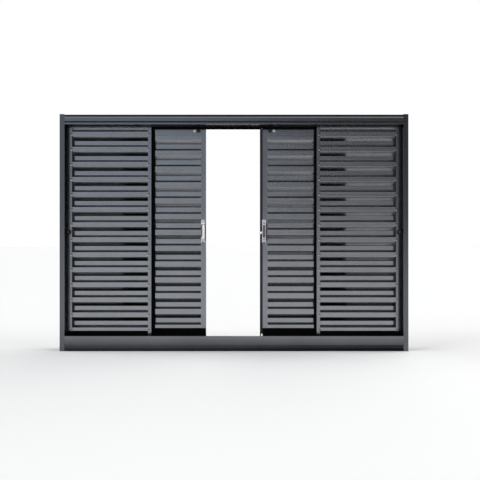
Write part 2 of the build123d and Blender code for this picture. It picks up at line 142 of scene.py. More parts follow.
def calculate(
    tree: bpy.types.NodeTree, operation: str, first: bpy.types.NodeSocket | float,
    second: bpy.types.NodeSocket | float
) -> bpy.types.NodeSocket:
    """Add a calculation with two numbers.

    Args:
        tree: the node tree.
        operation: Blender's name of the operation.
        first: the first number, or the output that gives it.
        second: the second number, or the output that gives it.

    Returns:
        The output that gives the result.
    """
    return add_node(tree, "ShaderNodeMath", {0: first, 1: second}, operation=operation).outputs[0]


def spread(
    tree: bpy.types.NodeTree, value: bpy.types.NodeSocket, source: Span, target: Span = (0.0, 1.0),
    ramp: Ramp = Ramp.STRAIGHT
) -> bpy.types.NodeSocket:
    """Add a node that maps one range of values to another and stops at its ends.

    Args:
        tree: the node tree.
        value: the output to map.
        source: the values that the range starts and ends at.
        target: what they become.
        ramp: how it runs between them.

    Returns:
        The output that gives the mapped value.
    """
    sockets = {"Value": value, "From Min": source[0], "From Max": source[1],
               "To Min": target[0], "To Max": target[1]}
    return add_node(tree, "ShaderNodeMapRange", sockets, interpolation_type=ramp.value).outputs[0]


def blend(
    tree: bpy.types.NodeTree, factor: bpy.types.NodeSocket, first: bpy.types.NodeSocket | Iterable[float],
    second: bpy.types.NodeSocket | Iterable[float]
) -> bpy.types.NodeSocket:
    """Add a blend of two colours.

    Args:
        tree: the node tree.
        factor: the output that gives the second colour's share.
        first: the first colour, or the output that gives it.
        second: the second colour, or the output that gives it.

    Returns:
        The output that gives the blend.
    """
    sockets = {"Factor": factor, COLOUR_A: first, COLOUR_B: second}
    return add_node(tree, "ShaderNodeMix", sockets, data_type="RGBA").outputs[MIXED]


@dataclass(frozen=True)
class PaintedShade:
    """Painted shade: a colour darkened more and more along one axis."""

    axis: Grain
    unshaded_at_mm: float          # where on the axis the colour is whole
    darkest_at_mm: float           # where it is darkest
    least: float                # what is left of the colour there
    unshaded_again_mm: float | None = None     # where, further on, the colour is whole again
    below_mm: float = 2000.0    # height under which the painted shade lies
    fade_mm: float = 100.0      # height over which the painted shade thins out above that
    edge_mm: float = 1.0        # over which it ends where the colour is whole again

    def factor(self, tree: bpy.types.NodeTree) -> bpy.types.NodeSocket:
        """Add the factor that the colour is multiplied by.

        Args:
            tree: the material's node tree.

        Returns:
            The output that gives the factor, from the least to 1.
        """
        place = add_node(tree, "ShaderNodeTexCoord")
        axes = add_node(tree, "ShaderNodeSeparateXYZ", {0: place.outputs["Object"]})
        along = axes.outputs[self.axis.value]
        darkening = spread(tree, along, (self.unshaded_at_mm * MM, self.darkest_at_mm * MM), (0.0, 1.0 - self.least))
        fade = (self.below_mm * MM, (self.below_mm + self.fade_mm) * MM)
        darkening = calculate(tree, "MULTIPLY", darkening, spread(tree, axes.outputs["Z"], fade, (1.0, 0.0)))
        if self.unshaded_again_mm is not None:
            edge = ((self.unshaded_again_mm - self.edge_mm) * MM, self.unshaded_again_mm * MM)
            darkening = calculate(tree, "MULTIPLY", darkening, spread(tree, along, edge, (1.0, 0.0)))
        return calculate(tree, "SUBTRACT", 1.0, darkening)


@dataclass(frozen=True)
class Finish:
    """A surface: what it is made of and how it was worked."""

    name: str
    colour: str
    roughness: float
    metallic: float = 0.0
    tone_swing: float = 0.05    # how far the pattern lightens and darkens the colour
    gloss_swing: float = 0.03   # how far the pattern raises and lowers the roughness
    cloud_mm: float = 140.0     # size of the slow change of tone over the surface
    relief_mm: float = 0.01     # height of the fine relief
    wave_mm: float = 0.0        # height of the slow waves that bend what the surface mirrors
    painted_shade: PaintedShade | None = None
    fine_detail: float = 3.0    # finer layers in the fine pattern
    cloud_detail: float = 2.0   # and in the slow one
    layer_share: float = 0.55   # how strong each finer layer is
    tone_range: Span = (0.35, 0.65)     # the pattern's values between which the tone changes
    gloss_range: Span = (0.3, 0.7)      # and the gloss

    def spacing_mm(self) -> tuple[float, float, float]:
        """The spacing of the fine pattern on each axis, in millimetres."""
        return (1.0, 1.0, 1.0)

    def pattern(
        self, tree: bpy.types.NodeTree, spacing_mm: Iterable[float], detail: float
    ) -> bpy.types.NodeSocket:
        """Add an uneven pattern that stays with the object.

        Args:
            tree: the material's node tree.
            spacing_mm: size of the pattern on each axis.
            detail: how many finer layers it has.

        Returns:
            The output that gives the pattern, from 0 to 1.
        """
        place = add_node(tree, "ShaderNodeTexCoord")
        scale = [1 / (s * MM) for s in spacing_mm]
        sized = add_node(tree, "ShaderNodeMapping", {"Vector": place.outputs["Object"], "Scale": scale})
        sockets = {"Vector": sized.outputs[0], "Scale": 1.0, "Detail": detail, "Roughness": self.layer_share}
        return add_node(tree, "ShaderNodeTexNoise", sockets).outputs[0]

    def with_painted_shade(self, tree: bpy.types.NodeTree, tone: bpy.types.NodeSocket) -> bpy.types.NodeSocket:
        """Darken the colour with the painted shade.

        Args:
            tree: the material's node tree.
            tone: the output that gives the colour.

        Returns:
            The output that gives the darkened colour.
        """
        if self.painted_shade is None:
            return tone
        sockets = {0: tone, "Scale": self.painted_shade.factor(tree)}
        return add_node(tree, "ShaderNodeVectorMath", sockets, operation="SCALE").outputs[0]

    def settle(self, shader: bpy.types.Node) -> None:
        """Set what is the same all over the surface, on the shader's own sockets."""
        shader.inputs["Metallic"].default_value = self.metallic

    @cache
    def material(self) -> bpy.types.Material:
        """Build the material.

        Returns:
            The material, made once for each finish.
        """
        made = bpy.data.materials.new(self.name)
        made.use_nodes = True
        tree = made.node_tree
        shader = tree.nodes["Principled BSDF"]
        fine = self.pattern(tree, self.spacing_mm(), self.fine_detail)
        cloud = self.pattern(tree, (self.cloud_mm,) * 3, self.cloud_detail)
        both = calculate(tree, "MULTIPLY", calculate(tree, "ADD", fine, cloud), 0.5)
        base = linear(self.colour)[:3]
        dark = [c * (1 - self.tone_swing) for c in base] + [1.0]
        light = [min(1.0, c * (1 + self.tone_swing)) for c in base] + [1.0]
        tone = blend(tree, spread(tree, both, self.tone_range), dark, light)
        glosses = (self.roughness - self.gloss_swing, self.roughness + self.gloss_swing)
        gloss = spread(tree, fine, self.gloss_range, glosses)
        waves = add_node(tree, "ShaderNodeBump", {"Height": cloud, "Distance": self.wave_mm * MM})
        sockets = {"Height": fine, "Distance": self.relief_mm * MM, "Normal": waves.outputs[0]}
        relief = add_node(tree, "ShaderNodeBump", sockets)
        tree.links.new(self.with_painted_shade(tree, tone), shader.inputs["Base Color"])
        tree.links.new(gloss, shader.inputs["Roughness"])
        tree.links.new(relief.outputs[0], shader.inputs["Normal"])
        self.settle(shader)
        return made


@dataclass(frozen=True)
class DrawnAluminium(Finish):
    """Extruded or rolled aluminium, etched and anodised black: die lines run along the grain.

    The oxide keeps a satin sheen, so the faces mirror their surroundings softly and read as dark metal.
    """

    grain: Grain = Grain.X
    metallic: float = 1.0
    line_mm: float = 3.0        # real die lines are ten times finer, too fine for the picture
    line_length_mm: float = 700.0

    def spacing_mm(self) -> tuple[float, float, float]:
        """Long thin lines along the grain."""
        return self.grain.spacing(self.line_length_mm, self.line_mm)


@dataclass(frozen=True)
class Moulded(Finish):
    """Moulded or turned plastic or rubber with a fine even grit, which scatters light evenly."""

    grit_mm: float = 0.8
    index: float = 1.5

    def spacing_mm(self) -> tuple[float, float, float]:
        """An even grit."""
        return (self.grit_mm,) * 3

    def settle(self, shader: bpy.types.Node) -> None:
        """Set the plastic's index of refraction."""
        super().settle(shader)
        shader.inputs["IOR"].default_value = self.index


@dataclass(frozen=True)
class Plated(Finish):
    """Cast, turned or punched metal, plated or bare, with a thin clear lacquer where it has a coat."""

    grain: Grain = Grain.Z
    brush_mm: float = 0.9
    brush_length_mm: float = 10.8
    coat: float = 0.3
    coat_roughness: float = 0.15

    def spacing_mm(self) -> tuple[float, float, float]:
        """Short brush marks along the piece."""
        return self.grain.spacing(self.brush_length_mm, self.brush_mm)

    def settle(self, shader: bpy.types.Node) -> None:
        """Set the lacquer over the plating.

        Args:
            shader: the material's shader.
        """
        super().settle(shader)
        shader.inputs["Coat Weight"].default_value = self.coat
        shader.inputs["Coat Roughness"].default_value = self.coat_roughness


@dataclass(frozen=True)
class Pile(Finish):
    """Siliconised polypropylene pile: upright fibres that catch a little light at their tips."""

    fibre_mm: float = 0.6
    shine: float = 0.05         # little, because light is lost between the fibres
    sheen: float = 0.02
    sheen_roughness: float = 0.6

    def spacing_mm(self) -> tuple[float, float, float]:
        """Fibres as thick as the picture can show."""
        return (self.fibre_mm,) * 3

    def settle(self, shader: bpy.types.Node) -> None:
        """Set the soft light on the fibres' tips.

        Args:
            shader: the material's shader.
        """
        super().settle(shader)
        shader.inputs["Specular IOR Level"].default_value = self.shine
        shader.inputs["Sheen Weight"].default_value = self.sheen
        shader.inputs["Sheen Roughness"].default_value = self.sheen_roughness


# The frame's sections, extruded aluminium anodised black: they read as satin charcoal
FRAME_X = DrawnAluminium("black_anodised_frame_across", "#74767b", 0.2, grain=Grain.X, wave_mm=0.2)
# The uprights are the same metal, given a darker colour than the head and sill as painted shade
FRAME_Z = DrawnAluminium("black_anodised_frame_upright", "#65676a", 0.2, grain=Grain.Z, wave_mm=0.2)
# The sill, the same metal, with painted shade: its face is painted darker from the brow down to its foot
SILL = DrawnAluminium("black_anodised_sill", "#74767a", 0.2, grain=Grain.X, wave_mm=0.3, tone_swing=0.1,
                      painted_shade=PaintedShade(Grain.Z, unshaded_at_mm=56.0, darkest_at_mm=0.0, least=0.1))
# The leaves' sections, the same alloy and bath: a shade lighter and cooler than the frame
LEAF_X = DrawnAluminium("black_anodised_rail", "#888b91", 0.2, grain=Grain.X, wave_mm=0.2)
LEAF_Z = DrawnAluminium("black_anodised_stile", "#888b91", 0.2, grain=Grain.Z, wave_mm=0.2)
# The blades, rolled sheet bent after anodising: a little softer in their shine
SHEET = DrawnAluminium("black_anodised_blade_sheet", "#929498", 0.22, grain=Grain.X, line_mm=5.0,
                       cloud_mm=80.0, wave_mm=0.3)
# Glass-filled nylon, moulded: near black, matt
NYLON = Moulded("black_moulded_nylon", "#1d1d1f", 0.5, relief_mm=0.05)
# The retainers' rubber cap: dead black, which sets off the screw in its middle
RUBBER = Moulded("black_rubber", "#0b0b0c", 0.7, relief_mm=0.03)
# Blackened steel: the dark grey glint of the screw in each retainer
CAP_SCREW = Plated("blackened_screw_steel", "#515255", 0.35, metallic=0.5, coat=0.0)
# Acetal, turned: waxy white
ACETAL = Moulded("turned_white_acetal", "#e6e3da", 0.35, index=1.48, tone_swing=0.03)
# Zinc casting under silver lacquer: pale, slightly lilac grey
LATCH = Plated("silver_lacquered_zinc", "#c9c8d1", 0.4, metallic=0.3)
# The pull bar, ledge and tongue, polished and lacquered: near white
PULL = Plated("polished_lacquered_zinc", "#fcfcfd", 0.3, tone_swing=0.02)
# Zinc plated steel: the bright dots of the guides' screws
SCREW = Plated("zinc_plated_screw_steel", "#f4f5f7", 0.3, metallic=0.2, coat=0.0)
# Aluminium bared where the punch broke its oxide: the pale specks beside the blades
CRIMP = Plated("bare_crimped_aluminium", "#c3c7cb", 0.35, metallic=0.4, coat=0.0)
# Warm grey nylon for the stop, the case's screws, the pocket's lining and the lever: matt, so they read
# darker beside the bright casting
INSERT = Moulded("mauve_grey_nylon_insert", "#6d6771", 0.45, relief_mm=0.03)
LEVER = Moulded("brown_grey_nylon_lever", "#62585a", 0.45, relief_mm=0.03)
# Brown black and matt: painted shade beside the latch case, at the notch in its foot and between the ledge
# and the pull bar
SHADE_BROWN = Moulded("brown_black_gasket", "#443e43", 0.6, relief_mm=0.05)
# The recess of a cross-headed screw and the punch's hole beside each tab, painted dark: painted shade
BORE_SHADE = Moulded("painted_shade_bore", "#141416", 0.55, relief_mm=0.0)
# Seals, black pile on a woven backing: the blackest bands of the window, which also stand in for the shade in
# the track, the gaps and the head's channel as painted shade
PILE = Pile("black_pile_seal", "#070708", 0.95, relief_mm=0.3)


def dress(node: str, finish: Finish) -> None:
    """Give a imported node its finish.

    Args:
        node: the node's name.
        finish: the finish that it gets.
    """
    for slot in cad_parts[node].material_slots:
        slot.material = finish.material()
    log.info("%s: %s", node, finish.name)


def place_piece(bm: bmesh.types.BMesh, name: str, finishes: Iterable[Finish]) -> None:
    """Make a finished piece out of a bmesh that already stands in its place; it rides on the root body.

    Args:
        bm: the mesh, in metres in the row frame; it is freed here.
        name: the piece's name.
        finishes: one finish for each material index.
    """
    mesh = bpy.data.meshes.new(name)
    bmesh.ops.recalc_face_normals(bm, faces=bm.faces)
    bm.to_mesh(mesh)
    bm.free()
    for finish in finishes:
        mesh.materials.append(finish.material())
    piece = bpy.data.objects.new(name, mesh)
    bpy.context.scene.collection.objects.link(piece)
    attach(piece, ROOT)
    log.info("%s: %d faces", name, len(mesh.polygons))


def soften(bm: bmesh.types.BMesh, verts: Iterable[bmesh.types.BMVert], width_mm: float) -> None:
    """Round the edges of a block.

    Args:
        bm: the mesh that it is in.
        verts: the block's corners.
        width_mm: width of the rounding.
    """
    edges = {e for v in verts for e in v.link_edges}
    bmesh.ops.bevel(bm, geom=list(edges), offset=width_mm * MM, affect="EDGES", segments=2, profile=0.5,
                    material=-1)


def bar(bm: bmesh.types.BMesh, x: Span, y: Span, z: Span, bevel_mm: float) -> None:
    """Add a straight bar with softened edges.

    Args:
        bm: the mesh that it joins.
        x: where it starts and ends across the window, in metres.
        y: where it starts and ends through the window.
        z: its foot and its top.
        bevel_mm: width of the softened edges.
    """
    low, high = Vector((x[0], y[0], z[0])), Vector((x[1], y[1], z[1]))
    matrix = Matrix.Translation((low + high) / 2) @ Matrix.Diagonal((*(high - low), 1.0))
    soften(bm, bmesh.ops.create_cube(bm, size=1.0, matrix=matrix)["verts"], bevel_mm)


@dataclass(frozen=True)
class PanScrew:
    """A cross-headed pan screw, seen by its head."""

    radius_mm: float
    rise_mm: float
    arm_mm: float               # reach of the cross's arms
    arm_width_mm: float = 0.8
    recess_mm: float = 1.2
    around: int = 24
    # Each ring's size, as a share of the last one's, and its share of the rise
    rings: tuple[Span, ...] = ((1.0, 0.45), (0.86, 0.35), (0.8, 0.2))

    def add(self, bm: bmesh.types.BMesh, seat: Matrix) -> None:
        """Add the head to a mesh: a domed ring, a flat top and a cross-shaped recess in it.

        Args:
            bm: the mesh that it joins.
            seat: where it sits; the head rises along the seat's own Z.
        """
        rim = bmesh.ops.create_circle(bm, cap_ends=True, segments=self.around, radius=self.radius_mm * MM)
        made = list(rim["verts"])
        edges = list({e for v in made for e in v.link_edges})
        for shrink, share in self.rings:
            ring, edges = self.grow(bm, edges)
            bmesh.ops.scale(bm, verts=ring, vec=(shrink, shrink, 1.0))
            bmesh.ops.translate(bm, verts=ring, vec=(0, 0, share * self.rise_mm * MM))
            made += ring
        outline, outline_edges = self.cross(bm, self.rise_mm * MM)
        bmesh.ops.bridge_loops(bm, edges=edges + outline_edges)
        floor, floor_edges = self.grow(bm, outline_edges)
        bmesh.ops.translate(bm, verts=floor, vec=(0, 0, -self.recess_mm * MM))
        bmesh.ops.contextual_create(bm, geom=floor_edges)
        # The recess takes the second finish, painted shade
        for face in {f for v in floor for f in v.link_faces}:
            face.material_index = 1
        bmesh.ops.transform(bm, matrix=seat, verts=made + outline + floor)

    @staticmethod
    def grow(
        bm: bmesh.types.BMesh, edges: list[bmesh.types.BMEdge]
    ) -> tuple[list[bmesh.types.BMVert], list[bmesh.types.BMEdge]]:
        """Draw a closed loop of edges out into a wall, which still has no height.

        Args:
            bm: the mesh that they are in.
            edges: the loop.

        Returns:
            The vertices and the edges of the wall's new end.
        """
        grown = bmesh.ops.extrude_edge_only(bm, edges=edges)["geom"]
        verts = [g for g in grown if isinstance(g, bmesh.types.BMVert)]
        ends = [g for g in grown if isinstance(g, bmesh.types.BMEdge) and all(v in verts for v in g.verts)]
        return verts, ends

    def cross(
        self, bm: bmesh.types.BMesh, level: float
    ) -> tuple[list[bmesh.types.BMVert], list[bmesh.types.BMEdge]]:
        """Add the outline of a cross.

        Args:
            bm: the mesh that it joins.
            level: its height.

        Returns:
            Its vertices and edges.
        """
        arm, half = self.arm_mm * MM, self.arm_width_mm * MM / 2
        corner = ((half, half), (half, arm), (-half, arm))
        verts = []
        for quarter in range(4):
            turn = Matrix.Rotation(quarter * math.pi / 2, 3, "Z")
            verts += [bm.verts.new(turn @ Vector((x, y, level))) for x, y in corner]
        return verts, [bm.edges.new((a, b)) for a, b in zip(verts, verts[1:] + verts[:1])]


GUIDE_SCREW = PanScrew(radius_mm=5.6, rise_mm=3.4, arm_mm=2.6)
CASE_SCREW = PanScrew(radius_mm=2.8, rise_mm=0.8, arm_mm=1.7, recess_mm=0.6)
RETAINER_SCREW = PanScrew(radius_mm=4.6, rise_mm=1.0, arm_mm=2.4, arm_width_mm=0.9, recess_mm=0.6)


@dataclass(frozen=True)
class CrimpedTab:
    """A tab folded over a blade's lip, bright at its fold, with a dark disc of painted shade for the punch's
    hole beside it.
    """

    width_mm: float = 4.2
    height_mm: float = 3.2
    rise_mm: float = 0.8
    bevel_mm: float = 0.4
    turn: float = 0.7           # radians, because the tab is folded askew
    hole_mm: float = 2.8        # radius
    hole_rise_mm: float = 0.3
    apart_x_mm: float = 1.8     # of the tab and of the hole from the middle
    apart_y_mm: float = 3.0
    around: int = 16

    def add(self, bm: bmesh.types.BMesh, seat: Matrix) -> None:
        """Add the tab and its hole to a mesh.

        Args:
            bm: the mesh that it joins.
            seat: where it sits; it rises along the seat's own Z.
        """
        away = Vector((self.apart_x_mm, self.apart_y_mm, 0)) * MM
        fold = seat @ Matrix.Translation(-away) @ Matrix.Rotation(self.turn, 4, "Z")
        size = Matrix.Diagonal((self.width_mm * MM, self.height_mm * MM, 2 * self.rise_mm * MM, 1.0))
        soften(bm, bmesh.ops.create_cube(bm, size=1.0, matrix=fold @ size)["verts"], self.bevel_mm)
        hole = bmesh.ops.create_cone(
            bm, cap_ends=True, segments=self.around, radius1=self.hole_mm * MM, radius2=self.hole_mm * MM,
            depth=2 * self.hole_rise_mm * MM, matrix=seat @ Matrix.Translation(away))
        for face in {f for v in hole["verts"] for f in v.link_faces}:
            face.material_index = 1


def seat_on_front(x: float, y: float, z: float, tilt: float = 0.0) -> Matrix:
    """A seat on a face that looks to the room.

    Args:
        x: place across the window, in metres.
        y: place of the face.
        z: height.
        tilt: turn about the fastener's own axis, in radians.

    Returns:
        The matrix that turns a fastener's Z towards the room.
    """
    place = Matrix.Translation((x, y, z))
    return place @ Matrix.Rotation(math.pi / 2, 4, "X") @ Matrix.Rotation(tilt, 4, "Z")


@dataclass
class OuterFrame:
    """The frame's four sections, with the seal and the stop that the head carries."""

    seal_gap_mm: float = 0.4        # from the leaves before and behind it
    seal_end_gap_mm: float = 1.0    # from each jamb
    seal_foot_mm: float = 965.0
    seal_top_mm: float = 985.0
    seal_bevel_mm: float = 0.8
    stop_width_mm: float = 6.0      # the small grey stop at the seal, over the right leaf's edge
    stop_height_mm: float = 5.0
    stop_lift_mm: float = 0.6       # above the seal's foot
    stop_proud_mm: float = 2.0
    stop_hold_mm: float = 0.5       # how far it reaches into the seal
    stop_bevel_mm: float = 0.6

    def build(self) -> None:
        """Dress the head, the sill and the jambs, and add what the head carries."""
        dress("frame_head", FRAME_X)
        dress("frame_sill", SILL)
        dress("frame_jamb_left", FRAME_Z)
        dress("frame_jamb_right", FRAME_Z)
        self.head_seal()
        self.end_stop()

    def seal_front(self) -> float:
        """Where the head's seal begins, just behind the fixed leaves, in metres."""
        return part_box("left_fixed_top_rail")[1].y + self.seal_gap_mm * MM

    def head_seal(self) -> None:
        """Add the pile seal that hangs from the head between the fixed and the sliding leaves; its black also
        stands in for the shade in the head's channel, as painted shade.
        """
        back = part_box("left_sliding_top_rail")[0].y - self.seal_gap_mm * MM
        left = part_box("frame_jamb_left")[1].x + self.seal_end_gap_mm * MM
        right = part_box("frame_jamb_right")[0].x - self.seal_end_gap_mm * MM
        bm = bmesh.new()
        bar(bm, (left, right), (self.seal_front(), back), (self.seal_foot_mm * MM, self.seal_top_mm * MM),
            self.seal_bevel_mm)
        place_piece(bm, "head_pile_seal", (PILE,))

    def end_stop(self) -> None:
        """Add the stop on the seal, where the right sliding leaf's edge stands."""
        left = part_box("right_sliding_edge_strip")[0].x
        front, foot = self.seal_front(), (self.seal_foot_mm + self.stop_lift_mm) * MM
        bm = bmesh.new()
        bar(bm, (left, left + self.stop_width_mm * MM),
            (front - self.stop_proud_mm * MM, front + self.stop_hold_mm * MM),
            (foot, foot + self.stop_height_mm * MM), self.stop_bevel_mm)
        place_piece(bm, "head_end_stop", (INSERT,))


@dataclass
class LouvredLeaf:
    """One louvred leaf: its rails, stiles and blades, with the tabs, the seals and the dark bars of painted
    shade that belong to it.
    """

    side: Side
    kind: Kind
    shade_below_mm: float            # height under which the blades' inner parts are painted darker: painted shade
    shade_from_mm: float = 3.5       # depth behind the blades' front at which the painted shade begins
    shade_to_mm: float = 8.0
    shade_least: float = 0.35
    back_lip_mm: float = 1.5        # thickness of the blades' back lips, which the painted shade leaves out
    pitch_mm: float = 65.9          # of a fixed leaf's blades
    first_tab_mm: float = 940.6
    inner_tab_mm: float = 2.3       # from the inner stile's far edge
    outer_tab_mm: float = 1.6       # from the outer stile's near edge
    end_shade_width_mm: float = 4.2      # the dark bars of painted shade at the blades' ends
    end_shade_drop_mm: float = 7.5       # from a tab down to the bar's top
    end_shade_height_mm: float = 40.0
    end_shade_proud_mm: float = 0.3
    end_shade_depth_mm: float = 1.5
    end_shade_bevel_mm: float = 0.2
    seal_show_mm: float = 14.0      # how far the inner stile's seal shows past it
    seal_hold_mm: float = 5.0       # how much of it the stile covers
    seal_depth_mm: float = 3.6
    seal_foot_gap_mm: float = 10.0  # from its ends to the stile's
    seal_top_gap_mm: float = 15.0
    seal_bevel_mm: float = 1.0
    foot_low_mm: float = 56.0       # the black pile strip of painted shade along the leaf's foot
    foot_fixed_mm: float = 81.0     # its top on a fixed leaf
    foot_sliding_mm: float = 90.0   # its top on a sliding leaf
    foot_proud_mm: float = 2.0
    foot_inset_mm: float = 11.0     # from a fixed leaf's outer edge
    foot_bevel_mm: float = 0.6
    screw_rise_mm: float = 0.2      # of the retainer's screw over its face, into it
    screw_turn: float = 0.5         # radians

    def build(self) -> None:
        """Dress the leaf and add its small fittings."""
        self.dress()
        self.foot_shade_strip()
        if self.kind is Kind.FIXED:
            self.tabs()
            self.end_shades()
            self.seal()
            self.retainer_screw()

    @property
    def name(self) -> str:
        """The leaf's name, which all names of its nodes begin with."""
        return f"{self.side.name.lower()}_{self.kind.value}"

    def node(self, part: str) -> str:
        """The name of one of the leaf's nodes or pieces."""
        return f"{self.name}_{part}"

    def dress(self) -> None:
        """Dress the leaf's own sections and blades, and the plastic parts that it carries."""
        for part in ("top_rail", "bottom_rail"):
            dress(self.node(part), LEAF_X)
        for part in ("inner_stile", "outer_stile"):
            dress(self.node(part), LEAF_Z)
        # Painted shade on the blades: darker deeper in and lower down, to a height set for each leaf
        front, back = (corner.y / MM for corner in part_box(self.node("blades")))
        painted_shade = PaintedShade(Grain.Y, front + self.shade_from_mm, front + self.shade_to_mm, self.shade_least,
                          unshaded_again_mm=back - self.back_lip_mm, below_mm=self.shade_below_mm)
        dress(self.node("blades"), replace(SHEET, name=f"{SHEET.name}_{self.name}", painted_shade=painted_shade))
        if self.kind is Kind.SLIDING:
            dress(self.node("rollers"), ACETAL)
            dress(self.node("guides"), NYLON)
        else:
            dress(self.node("retainer"), RUBBER)

    def tab_levels(self) -> list[float]:
        """Work out where the tabs are, one at the foot of each front lip.

        Returns:
            Their heights in millimetres, from the highest down.
        """
        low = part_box(self.node("blades"))[0].z / MM
        count = int((self.first_tab_mm - low) / self.pitch_mm) + 1
        return [self.first_tab_mm - row * self.pitch_mm for row in range(count)]

    def tabs(self) -> None:
        """Add the tabs that lock the blades, on both stiles."""
        inner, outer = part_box(self.node("inner_stile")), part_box(self.node("outer_stile"))
        if self.side is Side.LEFT:
            places = (inner[0].x + self.inner_tab_mm * MM, outer[1].x - self.outer_tab_mm * MM)
        else:
            places = (inner[1].x - self.inner_tab_mm * MM, outer[0].x + self.outer_tab_mm * MM)
        bm = bmesh.new()
        for x in places:
            for level in self.tab_levels():
                CrimpedTab().add(bm, seat_on_front(x, inner[0].y, level * MM))
        place_piece(bm, self.node("crimped_tabs"), (CRIMP, BORE_SHADE))

    def end_shades(self) -> None:
        """Add dark bars between the blades' ends and the outer stile: painted shade."""
        low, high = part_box(self.node("blades"))
        end = low.x if self.side is Side.LEFT else high.x
        near, far = sorted((end, end - self.side * self.end_shade_width_mm * MM))
        bm = bmesh.new()
        for level in self.tab_levels():
            top = level - self.end_shade_drop_mm
            foot = max(top - self.end_shade_height_mm, low.z / MM)
            bar(bm, (near, far), (low.y - self.end_shade_proud_mm * MM, low.y + self.end_shade_depth_mm * MM),
                (foot * MM, top * MM), self.end_shade_bevel_mm)
        place_piece(bm, self.node("end_shade_bars"), (NYLON,))

    def seal(self) -> None:
        """Add the pile seal on the back of the inner stile, against the sliding leaf; its black band also
        stands in for the shade beside the stile, as painted shade.
        """
        low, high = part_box(self.node("inner_stile"))
        inner = high.x if self.side is Side.LEFT else low.x
        shows = inner - self.side * self.seal_show_mm * MM
        near, far = sorted((shows, inner + self.side * self.seal_hold_mm * MM))
        bm = bmesh.new()
        bar(bm, (near, far), (high.y, high.y + self.seal_depth_mm * MM),
            (low.z + self.seal_foot_gap_mm * MM, high.z - self.seal_top_gap_mm * MM), self.seal_bevel_mm)
        place_piece(bm, self.node("pile_seal"), (PILE,))

    def foot_shade_strip(self) -> None:
        """Add a black pile strip along the leaf's foot: painted shade for the dark track behind the sill."""
        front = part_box(self.node("bottom_rail"))[0].y
        inner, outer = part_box(self.node("inner_stile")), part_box(self.node("outer_stile"))
        top, inset = self.foot_sliding_mm, self.foot_inset_mm * MM
        left, right = min(inner[0].x, outer[0].x), max(inner[1].x, outer[1].x)
        if self.kind is Kind.FIXED:
            top = self.foot_fixed_mm
            left = outer[0].x + inset if self.side is Side.LEFT else inner[1].x
            right = inner[0].x if self.side is Side.LEFT else outer[1].x - inset
        bm = bmesh.new()
        bar(bm, (left, right), (front - self.foot_proud_mm * MM, front), (self.foot_low_mm * MM, top * MM),
            self.foot_bevel_mm)
        place_piece(bm, self.node("foot_shade_strip"), (PILE,))

    def retainer_screw(self) -> None:
        """Add the dark screw in the middle of the retainer."""
        low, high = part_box(self.node("retainer"))
        middle = (low + high) / 2
        bm = bmesh.new()
        seat = seat_on_front(middle.x, low.y + self.screw_rise_mm * MM, middle.z, self.screw_turn)
        RETAINER_SCREW.add(bm, seat)
        place_piece(bm, self.node("retainer_screw"), (CAP_SCREW, BORE_SHADE))


